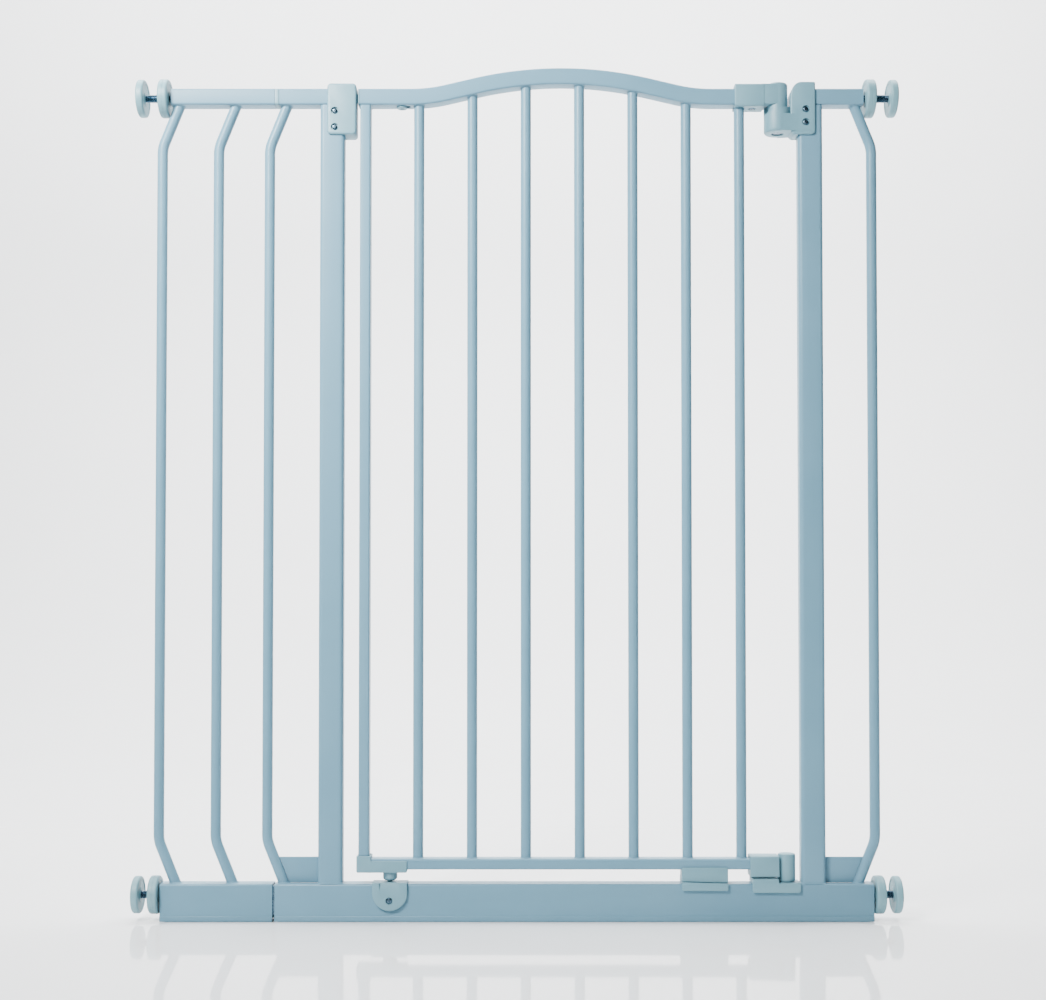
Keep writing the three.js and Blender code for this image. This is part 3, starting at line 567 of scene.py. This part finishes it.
def make_steel():
    for node in ("left_arm_tube", "right_arm_tube", "extension_top_tube"):
        finish_piece(straight_tube(node, "x", RAIL_RADIUS), node)
    finish_piece(door_bottom_rail(), "door_bottom_rail")
    finish_piece(straight_tube("door_stile", "z", RAIL_RADIUS), "door_stile")
    finish_piece(upright("left_upright", ("receiver_screw_upper", "receiver_screw_lower")), "left_upright")
    finish_piece(upright("right_upright", ("bracket_screw_upper", "bracket_screw_lower")), "right_upright")
    finish_piece(top_rail(), "door_top_rail")
    for node in ("base_channel", "extension_base_channel"):
        finish_piece(base_channel(node), node)

    frame_welds, door_welds = [], []
    tube_bottom = box_mm("left_arm_tube")[0].z
    bottom_rail_top = box_mm("door_bottom_rail")[1].z
    for node in ("extension_outer_bar", "extension_inner_bar", "left_bent_bar", "right_bent_bar"):
        bar, foot_x = bent_bar(node)
        finish_piece(bar, node)
        outline = circle(BAR_RADIUS, foot_x, 0, stretch=1 / math.cos(BEND_ANGLE))
        frame_welds.append(weld_bead(outline, lambda x: BASE_TOP, 1))
        frame_welds.append(weld_bead(outline, lambda x: tube_bottom, -1))
    for node in ("left_upright", "right_upright"):
        low, high = box_mm(node)
        middle = (low + high) / 2
        outline = rounded(high.x - low.x, high.y - low.y, UPRIGHT_RADIUS, middle.x, middle.y, 8)
        frame_welds.append(weld_bead(outline, lambda x: BASE_TOP, 1, 1.3, 6))
    for index in range(1, 8):
        node = f"door_bar_{index}"
        bar, x = door_bar(node)
        finish_piece(bar, node)
        outline = circle(BAR_RADIUS, x, 0)
        door_welds.append(weld_bead(outline, lambda x: bottom_rail_top, 1, 1.2))
        if index < 7:
            door_welds.append(weld_bead(outline, rail_underside, -1, 1.2))
    low, high = box_mm("door_stile")
    stile = rounded(high.x - low.x, high.y - low.y, RAIL_RADIUS, (low.x + high.x) / 2, 0, 4)
    door_welds.append(weld_bead(stile, rail_underside, -1, 1.0, 5))
    for name, parts, body in (("frame_welds", frame_welds, "frame"), ("door_welds", door_welds, "door")):
        welds = join_meshes(name, parts)
        welds.data.materials.append(MATERIALS["powder_coat"])
        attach(welds, body)


def make_gussets():
    """Gusset plates that lean with the leg of the side bar and have slightly rounded edges."""
    for side, outward in (("left", -1), ("right", 1)):
        low, high = box_mm(f"{side}_gusset")
        inner, outer = (low.x, high.x) if outward > 0 else (high.x, low.x)
        lean = (high.z - low.z) * math.tan(BEND_ANGLE)
        outline = [(inner, low.z), (outer - outward * lean, low.z), (outer, high.z), (inner, high.z)]
        finish_piece(prism(outline, "y", low.y, high.y, 0.5), f"{side}_gusset")


finish_cad_nodes()
make_steel()
make_gussets()

# ---------- Plastic fittings ----------

GAP = 0.3
PLATE_BACK = -12.3
SCREW_RECESS = 4.6
PIN_BORE = 3.05
POCKET_BOTTOM = 900.0


def screw_recesses(front, screws):
    """The sunk seats and through holes of screws that go in from the front."""
    tools = []
    for screw in screws:
        at = middle_of(screw)
        tools.append(prism(circle(SCREW_RECESS, at.x, at.z), "y", front - 1, front + 2.2))
        tools.append(prism(circle(SCREW_HOLE, at.x, at.z), "y", front, front + 8))
    return tools


def upright_pocket(x0, x1, node):
    """The hollow round the top of an upright and the tube that lies on it."""
    half = 10 + GAP
    top = box_mm(node)[1].z
    arm = box_mm("left_arm_tube")
    return [
        block((x0, -half, POCKET_BOTTOM), (x1, half, top + GAP)),
        block((x0, -half, arm[0].z - GAP), (x1, half, arm[1].z + GAP)),
    ]


def latch_receiver():
    low, high = box_mm("latch_receiver")
    middle, size = (low + high) / 2, high - low
    body = prism(rounded(size.x, size.z, 4.5, middle.x, middle.z), "y", low.y, high.y, 2.2)
    pocket_end = box_mm("left_upright")[1].x + GAP
    slot = block((pocket_end + 2, -4.5, RAIL_Z - 5.5), (high.x + 5, 4.5, RAIL_Z + 5.5))
    tools = upright_pocket(low.x - 5, pocket_end, "left_upright")
    screws = screw_recesses(low.y, ("receiver_screw_upper", "receiver_screw_lower"))
    return cut(body, *tools, slot, *screws)


CAM_RISE = 12.0
CAM_BOTTOM = 982.0
CAM_INNER = 8.5
CAM_CLEARANCE = 0.4


def cam_ramp(radius, start, end, plane, helix):
    """A ring sector between a level plane and a surface that climbs with the angle round the hinge."""
    steps = 40
    turn_start = math.floor(start / math.pi) * math.pi
    rings = []
    for i in range(steps + 1):
        angle = start + (end - start) * i / steps
        climb = helix + CAM_RISE * (angle - turn_start) / math.pi
        corners = ((CAM_INNER, plane), (radius, plane), (radius, climb), (CAM_INNER, climb))
        rings.append([Vector((HINGE_X + r * math.cos(angle), r * math.sin(angle), z)) for r, z in corners])
    return as_object("ramp", skin(rings))


def top_hinge_bracket():
    low, high = box_mm("top_hinge_bracket")
    knuckle = HINGE_X - low.x
    knuckle_bottom = 961.0
    plate_left = 334.2
    corner = (13.0, 19.0)
    half = 13.0
    outline = [(plate_left, knuckle_bottom), (plate_left + 4, low.z)]
    outline += arc(5, high.x - 5, low.z + 5, -QUARTER, 0, 8)
    outline += arc(2, high.x - 2, high.z - 2, 0, QUARTER, 5)
    for i in range(13):
        angle = QUARTER * (1 + i / 12)
        outline.append((
            plate_left + corner[0] * (1 + math.cos(angle)),
            high.z - corner[1] * (1 - math.sin(angle)),
        ))
    plate = prism(outline, "y", -half, half, 1.6)
    drum = lathe([
        (knuckle - 2.5, knuckle_bottom), (knuckle - 1.3, knuckle_bottom + 0.3),
        (knuckle - 0.4, knuckle_bottom + 1.2), (knuckle, knuckle_bottom + 2.6), (knuckle, CAM_BOTTOM),
    ], "z", HINGE_X)
    plate_front = Vector((plate_left + 8.8 - HINGE_X, -half))
    tangent = math.atan2(plate_front.y, plate_front.x) - math.acos(knuckle / plate_front.length)
    touch = (HINGE_X + knuckle * math.cos(tangent), knuckle * math.sin(tangent))
    corner_front = (HINGE_X + plate_front.x, plate_front.y)
    hull = [touch, corner_front, (corner_front[0], half), (touch[0], -touch[1])]
    web = prism(hull, "z", knuckle_bottom, CAM_BOTTOM)
    ramps = [
        cam_ramp(knuckle, 0, math.pi, CAM_BOTTOM - 4, CAM_BOTTOM),
        cam_ramp(knuckle, math.pi, 2 * math.pi, CAM_BOTTOM - 4, CAM_BOTTOM),
    ]
    body = join(plate, drum, web, *ramps)
    pocket_start = box_mm("right_upright")[0].x - GAP
    return cut(
        body,
        *upright_pocket(pocket_start, high.x + 10, "right_upright"),
        prism(circle(HINGE_BORE, HINGE_X), "z", knuckle_bottom - 5, CAM_BOTTOM + 20),
        prism(circle(7.6, HINGE_X), "z", knuckle_bottom - 5, knuckle_bottom + 5),
        *screw_recesses(low.y + 3.5, ("bracket_screw_upper", "bracket_screw_lower")),
    )


def top_hinge_sleeve():
    low, high = box_mm("top_hinge_sleeve")
    radius = high.x - HINGE_X
    half = high.y
    top, bottom = 1019.5, 992.0
    neck = HINGE_X - 17.5
    cam_top = CAM_BOTTOM + CAM_RISE
    helix = CAM_BOTTOM + CAM_CLEARANCE
    step = math.radians(2)
    sleeve = prism(rounded(2 * half, top - bottom, 2.2, 0, (top + bottom) / 2), "x", low.x, neck, 1.0)
    bridge = block((neck - 3, -radius, cam_top + 0.6), (HINGE_X, radius, top), 0.8)
    drum = lathe([
        (radius, cam_top + 0.5), (radius, high.z - 2.4), (radius - 0.3, high.z - 1.2),
        (radius - 1.2, high.z - 0.3), (radius - 2.4, high.z),
    ], "z", HINGE_X)
    ramps = [
        cam_ramp(radius, step, math.pi, cam_top + 3, helix),
        cam_ramp(radius, math.pi + step, 2 * math.pi, cam_top + 3, helix),
    ]
    body = join(sleeve, bridge, drum, *ramps)
    inner = RAIL_SIZE / 2 + GAP
    screw = middle_of("sleeve_screw")
    bar_x = middle_of("door_bar_7").x
    return cut(
        body,
        block((low.x - 5, -inner, RAIL_Z - inner), (rail_high.x + GAP, inner, RAIL_Z + inner)),
        prism(circle(BAR_RADIUS + GAP, bar_x), "z", bottom - 5, RAIL_Z),
        prism(circle(HINGE_BORE, HINGE_X), "z", CAM_BOTTOM - 5, 1018),
        prism(circle(SCREW_RECESS, screw.x), "z", bottom - 1, bottom + 1.2),
        prism(circle(SCREW_HOLE, screw.x), "z", bottom, bottom + 6),
    )


def bottom_hinge_base():
    low, high = box_mm("bottom_hinge_base")
    ledge = 46.7
    step_x = 316.0
    floor = BASE_TOP + GAP
    front = [(low.x + 2, low.z), (high.x - 2, low.z), (high.x, low.z + 2), (high.x, ledge)]
    front += [(step_x, ledge), (step_x, high.z - 1.5), (step_x - 1.5, high.z)]
    front += [(low.x + 1.5, high.z), (low.x, high.z - 1.5), (low.x, low.z + 2)]
    body = join(
        prism(front, "y", low.y, PLATE_BACK, 0.7),
        block((low.x, PLATE_BACK - 1, floor), (high.x, high.y, ledge), 0.4),
        block((low.x, PLATE_BACK - 1, floor), (step_x, high.y, high.z), 0.6),
    )
    housing_x, housing_radius = lower_housing()
    offset = housing_x - HINGE_X
    swept = []
    for i in range(7):
        angle = QUARTER * i / 6
        at = (HINGE_X + offset * math.cos(angle), offset * math.sin(angle))
        swept.append(prism(circle(housing_radius + 0.7, *at), "z", ledge, high.z + 5))
    return cut(body, *swept, prism(circle(HINGE_BORE, HINGE_X), "z", BASE_TOP - 5, high.z + 5))


def lower_housing():
    """The centre and radius of the round housing at the right end of the lower hinge knuckle."""
    radius = 10.6
    return box_mm("bottom_hinge_knuckle")[1].x - radius, radius


def bottom_hinge_knuckle():
    low, high = box_mm("bottom_hinge_knuckle")
    bottom, top = 53.0, 78.5
    x, radius = lower_housing()
    section = rounded(high.y - low.y, top - bottom, 2.2, 0, (top + bottom) / 2)
    arm = prism(section, "x", low.x, HINGE_X - 3, 1.0)
    drum = lathe([
        (radius - 1.6, low.z), (radius - 0.5, low.z + 0.5), (radius, low.z + 1.6),
        (radius, high.z - 1.8), (radius - 0.5, high.z - 0.5), (radius - 1.8, high.z),
    ], "z", x)
    rail_low_corner, rail_high_corner = box_mm("door_bottom_rail")
    return cut(
        join(arm, drum),
        block(
            (low.x - 5, rail_low_corner.y - GAP, rail_low_corner.z - GAP),
            (rail_high_corner.x + GAP, rail_high_corner.y + GAP, rail_high_corner.z + GAP),
        ),
        prism(circle(HINGE_BORE, HINGE_X), "z", low.z - 10, 77),
    )


def lower_catch():
    low, high = box_mm("lower_catch")
    x = (low.x + high.x) / 2
    radius = 21.3
    centre_z = 34.8
    outline = [(x + radius, high.z), (x - radius, high.z)]
    outline += arc(radius, x, centre_z, math.pi, 2 * math.pi, 32)
    floor = BASE_TOP + GAP
    body = join(
        prism(outline, "y", low.y, PLATE_BACK, 0.8),
        block((x - radius, PLATE_BACK - 1, floor), (x + radius, high.y, high.z), 0.4),
    )
    pin = middle_of("locking_pin")
    screw = middle_of("catch_screw")
    front = low.y - 1
    above = high.z + 1
    ramp_foot = 38.0
    ramp = [(front, ramp_foot), (low.y, ramp_foot), (PLATE_BACK, high.z), (PLATE_BACK, above), (front, above)]
    return cut(
        body,
        prism(ramp, "x", pin.x - 12, pin.x + 12),
        prism(circle(3.45, pin.x), "z", BASE_TOP - 5, high.z + 5),
        prism(circle(4.3, screw.x, screw.z), "y", low.y - 1, low.y + 2.4),
        prism(circle(SCREW_HOLE, screw.x, screw.z), "y", low.y, PLATE_BACK + 1),
    )


def stop_blocks():
    """The lower block with its back lip, and the upper block that hangs in front of the lip."""
    low, high = box_mm("lower_stop_block")
    floor = BASE_TOP + GAP
    slope = ((low.x, 47.6), (high.x, 46.1))
    front = [(low.x + 1.5, low.z), (high.x - 1.5, low.z), (high.x, low.z + 1.5)]
    front += [slope[1], slope[0], (low.x, low.z + 1.5)]
    top = [(low.x, floor), (high.x, floor), slope[1], slope[0]]
    lower = join(
        prism(front, "y", low.y, PLATE_BACK, 0.5),
        prism(top, "y", PLATE_BACK - 1, high.y, 0.4),
        block((low.x, 9, floor), (high.x, high.y, high.z), 0.6),
    )
    upper_low, upper_high = box_mm("upper_stop_block")
    clearance = 0.6
    under_rail = box_mm("door_bottom_rail")[0].z - GAP
    sloped = [(low.x, slope[0][1] + clearance), (high.x, slope[1][1] + clearance)]
    body = sloped + [(high.x, under_rail), (low.x, under_rail)]
    lip = sloped + [(high.x, upper_high.z - 1.5), (high.x - 1.5, upper_high.z)]
    lip += [(low.x + 1.5, upper_high.z), (low.x, upper_high.z - 1.5)]
    upper = join(
        prism(body, "y", upper_low.y + 1, upper_high.y, 0.6),
        prism(lip, "y", upper_low.y, -10 - GAP, 0.6),
    )
    return lower, upper


def corner_bracket():
    low, high = box_mm("corner_bracket")
    stile_low, stile_high = box_mm("door_stile")
    arm_top = 72.4
    rail_top = box_mm("door_bottom_rail")[1].z
    outline = [(low.x + 1.2, low.z), (high.x - 0.8, low.z), (high.x, low.z + 0.8), (high.x, arm_top)]
    step_x = stile_high.x + GAP + 2
    outline += [(step_x, arm_top), (step_x, high.z), (low.x, high.z), (low.x, low.z + 1.2)]
    body = prism(outline, "y", low.y, high.y, 0.7)
    inner = stile_high.y + GAP
    floor = stile_low.z - GAP
    left = stile_low.x - GAP
    pin = middle_of("locking_pin")
    return cut(
        body,
        block((left, -inner, floor), (high.x + 5, inner, rail_top + GAP)),
        block((left, -inner, floor), (stile_high.x + GAP, inner, high.z + 9)),
        prism(circle(PIN_BORE, pin.x), "z", low.z - 5, floor + 5),
    )


def locking_foot():
    """The domed foot that guides the pin."""
    low, high = box_mm("locking_foot")
    x = (low.x + high.x) / 2
    radius = (high.y - low.y) / 2
    dome = arc(3.7, radius - 3.7, low.z + 3.8, -QUARTER, 0, 10)
    profile = [(PIN_BORE, high.z), (PIN_BORE, low.z), *dome, (radius, high.z - 0.5), (radius - 0.5, high.z)]
    return lathe(profile, "z", x, cyclic=True)


def rail_end_cap():
    low, high = box_mm("rail_end_cap")
    outline = rounded(RAIL_SIZE, RAIL_SIZE, RAIL_RADIUS, 0, RAIL_Z)
    plug = RAIL_SIZE - 2 * WALL - 2 * GAP
    body = join(
        prism(outline, "x", low.x, low.x + 1.2, 0.45),
        prism(rounded(plug, plug, 1, 0, RAIL_Z), "x", low.x + 0.6, high.x),
    )
    return cut(body, prism(rounded(9, 11, 0.8, 0, RAIL_Z), "x", low.x - 4, high.x + 4))


def top_connector():
    low, high = box_mm("top_connector")
    middle = (low + high) / 2
    size = high - low
    plug = RAIL_SIZE - 2 * WALL - 2 * GAP
    return join(
        prism(rounded(plug, plug, 1.2, 0, middle.z), "x", low.x, high.x, 0.6),
        prism(rounded(size.y, size.z, RAIL_RADIUS, 0, middle.z), "x", middle.x - 2.5, middle.x + 2.5, 0.4),
    )


def latch_slide():
    """The bolt in the rail and the thumb button under it, in one moulding."""
    low, high = box_mm("latch_slide")
    x = high.x - BUTTON_FROM_BOLT_END
    under = RAIL_Z - RAIL_SIZE / 2 - GAP
    bolt = prism(rounded(8, 10, 1.2, 0, RAIL_Z), "x", low.x, high.x, 0.8)
    shank = lathe([(3, under - 0.5), (3, RAIL_Z)], "z", x)
    radius = 6.5
    button = lathe([
        (3.2, low.z), (5.2, low.z), (6.0, low.z + 0.25),
        (6.4, low.z + 0.8), (radius, low.z + 1.6), (radius, under),
    ], "z", x)
    dish = lathe([(1.5, low.z + 1.4), (2.4, low.z + 0.9), (3.1, low.z - 0.4)], "z", x)
    return cut(join(bolt, shank, button), dish)


def make_fittings():
    finish_piece(latch_receiver(), "latch_receiver")
    finish_piece(top_hinge_bracket(), "top_hinge_bracket")
    finish_piece(top_hinge_sleeve(), "top_hinge_sleeve")
    finish_piece(bottom_hinge_base(), "bottom_hinge_base")
    finish_piece(bottom_hinge_knuckle(), "bottom_hinge_knuckle")
    finish_piece(lower_catch(), "lower_catch")
    lower, upper = stop_blocks()
    finish_piece(lower, "lower_stop_block")
    finish_piece(upper, "upper_stop_block")
    finish_piece(corner_bracket(), "corner_bracket")
    finish_piece(locking_foot(), "locking_foot")
    finish_piece(rail_end_cap(), "rail_end_cap")
    finish_piece(top_connector(), "top_connector")
    finish_piece(latch_slide(), "latch_slide")


# ---------- Screws and adjusters ----------

def screw(node, axis, head_end, slotted=False):
    """A pan-head screw with a cross or a slot, its head at the low or the high end of the node's box."""
    low, high = box_mm(node)
    middle = (low + high) / 2
    along = "xyz".index(axis)
    start, end = (low[along], high[along]) if head_end == "low" else (high[along], low[along])
    way = 1 if end > start else -1
    radius = (high.x - low.x) / 2
    u, v = (middle.x, middle.z) if axis == "y" else (middle.x, middle.y)
    crown = ((0.45, 0.0), (0.78, 0.18), (0.95, 0.6), (1.0, 1.1), (1.0, 1.4))
    profile = [(radius * share, start + way * depth) for share, depth in crown]
    profile += [(2, start + way * 1.4)]
    profile += [(2, end - way * 0.8), (1.2, end)]
    body = lathe(profile, axis, u, v, steps=40)
    depth = start + way * 0.9
    bars = [(0.45, radius * 0.62)] if slotted else [(0.42, radius * 0.6), (radius * 0.6, 0.42)]
    tools = []
    for half_u, half_v in bars:
        outline = [(u - half_u, v - half_v), (u + half_u, v - half_v)]
        outline += [(u + half_u, v + half_v), (u - half_u, v + half_v)]
        tools.append(prism(outline, axis, *sorted((start - way, depth))))
    return cut(body, *tools)


def make_screws():
    for fitting in ("receiver", "bracket"):
        for place in ("upper", "lower"):
            node = f"{fitting}_screw_{place}"
            finish_piece(screw(node, "y", "low"), node)
    finish_piece(screw("catch_screw", "y", "low", slotted=True), "catch_screw")
    finish_piece(screw("sleeve_screw", "z", "low"), "sleeve_screw")


SPINDLE_BORE = 5.3
HUB_RADIUS = 8.9


def threaded_rod(node, pitch=1.5, sides=30, rings_per_pitch=8):
    """A threaded spindle: one closed skin whose radius follows the thread round and along."""
    low, high = box_mm(node)
    middle = (low + high) / 2
    crest = (high.z - low.z) / 2
    depth = 0.61 * pitch
    flank = 0.44
    count = int((high.x - low.x) / pitch * rings_per_pitch)
    chamfer = pitch
    rings = []
    for i in range(count + 1):
        x = low.x + (high.x - low.x) * i / count
        inset = max(0.0, chamfer - (x - low.x), chamfer - (high.x - x)) * 0.7
        points = []
        for j in range(sides):
            angle = 2 * math.pi * j / sides
            phase = (x / pitch - j / sides) % 1
            groove = max(0.0, 1 - abs(phase - 0.5) / flank)
            radius = min(crest - depth * groove, crest - inset)
            y = middle.y + radius * math.cos(angle)
            z = middle.z + radius * math.sin(angle)
            points.append(Vector((x, y, z)))
        rings.append(points)
    return as_object(node, skin(rings))


def rim(radius, start, end, edge=2.4, steps=7):
    """The rim of a disc from one place along its axis to another, rounded along both edges."""
    way = 1 if end > start else -1
    points = []
    for place, first_angle in ((start + way * edge, -QUARTER), (end - way * edge, 0)):
        for i in range(steps + 1):
            angle = first_angle + QUARTER * i / steps
            points.append((radius - edge * (1 - math.cos(angle)), place + way * edge * math.sin(angle)))
    return points


def wall_cup(node):
    """A cup with a round rim, a shallow dish toward the wall and a boss round the spindle's end."""
    low, high = box_mm(node)
    middle = (low + high) / 2
    radius = (high.z - low.z) / 2
    outward = 1 if middle.x > 0 else -1
    face, inner = (high.x, low.x) if outward > 0 else (low.x, high.x)
    socket = face - outward * 4
    dish = inner + outward * 0.7
    back = [(radius - 4.2, inner), (radius - 5.0, dish), (9.6, dish)]
    back += [(HUB_RADIUS, inner), (SPINDLE_BORE, inner)]
    profile = [(0.8, face), (12.0, face), *rim(radius, face, inner), *back]
    profile += [(SPINDLE_BORE, socket), (0.8, socket)]
    return lathe(profile, "x", middle.y, middle.z, steps=72)


def wheel(node):
    """A hand wheel with a round rim, a mould line round it and a raised hub on both faces."""
    low, high = box_mm(node)
    middle = (low + high) / 2
    radius = (high.z - low.z) / 2
    edge = rim(radius, low.x, high.x)
    seam = [(radius, middle.x - 0.3), (radius - 0.3, middle.x), (radius, middle.x + 0.3)]
    half = len(edge) // 2
    edge = edge[:half] + seam + edge[half:]
    dish = 0.8
    near = [(SPINDLE_BORE, low.x), (HUB_RADIUS, low.x)]
    near += [(9.7, low.x + dish), (16.5, low.x + dish), (17.6, low.x)]
    far = [(r, low.x + high.x - place) for r, place in reversed(near)]
    return lathe(near + edge + far, "x", middle.y, middle.z, steps=72, cyclic=True)


def make_adjusters():
    for corner in CORNERS:
        finish_piece(wheel(f"wheel_{corner}"), f"wheel_{corner}")
        finish_piece(wall_cup(f"wall_cup_{corner}"), f"wall_cup_{corner}")
        finish_piece(threaded_rod(f"spindle_{corner}"), f"spindle_{corner}")


make_fittings()
make_screws()
make_adjusters()

# ---------- Room, light and camera ----------

def floor_material():
    """Pale, glossy under the gate, and matt further back, where the floor curves up into the wall."""
    material, tree, shader = node_tree("floor")
    mottle(tree, shader, spread(tree, noise(tree, 3), 0, 1), (0.882, 0.892, 0.902), (0.9, 0.91, 0.92))
    coordinates = tree.nodes.new("ShaderNodeTexCoord")
    split = tree.nodes.new("ShaderNodeSeparateXYZ")
    fade = tree.nodes.new("ShaderNodeMapRange")
    tree.links.new(coordinates.outputs["Object"], split.inputs["Vector"])
    tree.links.new(split.outputs["Y"], fade.inputs["Value"])
    fade.inputs["From Min"].default_value = 0.1
    fade.inputs["From Max"].default_value = 1.5
    fade.inputs["To Min"].default_value = 0.06
    fade.inputs["To Max"].default_value = 0.5
    tree.links.new(fade.outputs["Result"], shader.inputs["Roughness"])
    return material


def make_room():
    """A pale floor that curves up into the wall behind the gate."""
    width = 14.0
    front, back, radius, height = -9.0, 3.2, 1.6, 7.0
    profile = [(front, 0.0)]
    for i in range(25):
        angle = -QUARTER + QUARTER * i / 24
        profile.append((back - radius + radius * math.cos(angle), radius + radius * math.sin(angle)))
    profile.append((back, height))
    bm = bmesh.new()
    rows = [[bm.verts.new((x, y, z - 0.0004)) for y, z in profile] for x in (-width / 2, width / 2)]
    for i in range(len(profile) - 1):
        bm.faces.new((rows[0][i], rows[1][i], rows[1][i + 1], rows[0][i + 1]))
    mesh = bpy.data.meshes.new("floor")
    bm.to_mesh(mesh)
    bm.free()
    floor = bpy.data.objects.new("floor", mesh)
    scene.collection.objects.link(floor)
    mesh.polygons.foreach_set("use_smooth", [True] * len(mesh.polygons))
    mesh.materials.append(floor_material())


def area_light(name, place, target, size, power, colour, spread_deg=180):
    data = bpy.data.lights.new(name, "AREA")
    data.shape = "RECTANGLE"
    data.size, data.size_y = size
    data.energy = power
    data.color = colour
    data.spread = math.radians(spread_deg)
    light = bpy.data.objects.new(name, data)
    light.location = place
    light.rotation_euler = (Vector(target) - Vector(place)).to_track_quat("-Z", "Y").to_euler()
    scene.collection.objects.link(light)


def make_light():
    area_light("key", (-1.0, -1.3, 1.75), (-0.3, 0, 0.95), (0.5, 0.5), 25, (1.0, 0.99, 0.98), 75)
    area_light("fill", (-1.2, -2.8, 1.9), (0, 0, 0.6), (1.2, 1.2), 10, (0.95, 0.98, 1.0), 80)
    area_light("wall_wash", (0, 0.7, 3.6), (0, 3.1, 0.9), (5.0, 1.2), 420, (1.0, 1.0, 1.0))
    area_light("floor_wash", (0, 1.4, 3.4), (0, 1.9, 0), (5.0, 1.2), 140, (1.0, 1.0, 1.0))
    world = bpy.data.worlds.new("studio")
    world.use_nodes = True
    background = world.node_tree.nodes["Background"]
    background.inputs["Color"].default_value = (0.95, 0.98, 1.0, 1)
    background.inputs["Strength"].default_value = 0.14
    scene.world = world


CAMERA_X = 0.0073
CAMERA_DISTANCE = 1.8366
CAMERA_HEIGHT = 0.373
CAMERA_TILT = math.radians(1.4)
CAMERA_SHIFT = 0.0723
CAMERA_LENS = 51.79


def make_camera():
    """A camera that looks up slightly, so that the uprights spread a little toward the floor."""
    data = bpy.data.cameras.new("camera")
    data.lens = CAMERA_LENS
    data.sensor_width = 36
    data.shift_y = CAMERA_SHIFT
    camera = bpy.data.objects.new("camera", data)
    camera.location = (CAMERA_X, -CAMERA_DISTANCE, CAMERA_HEIGHT)
    camera.rotation_euler = (QUARTER + CAMERA_TILT, 0, 0)
    scene.collection.objects.link(camera)
    scene.camera = camera


make_room()
make_light()
make_camera()
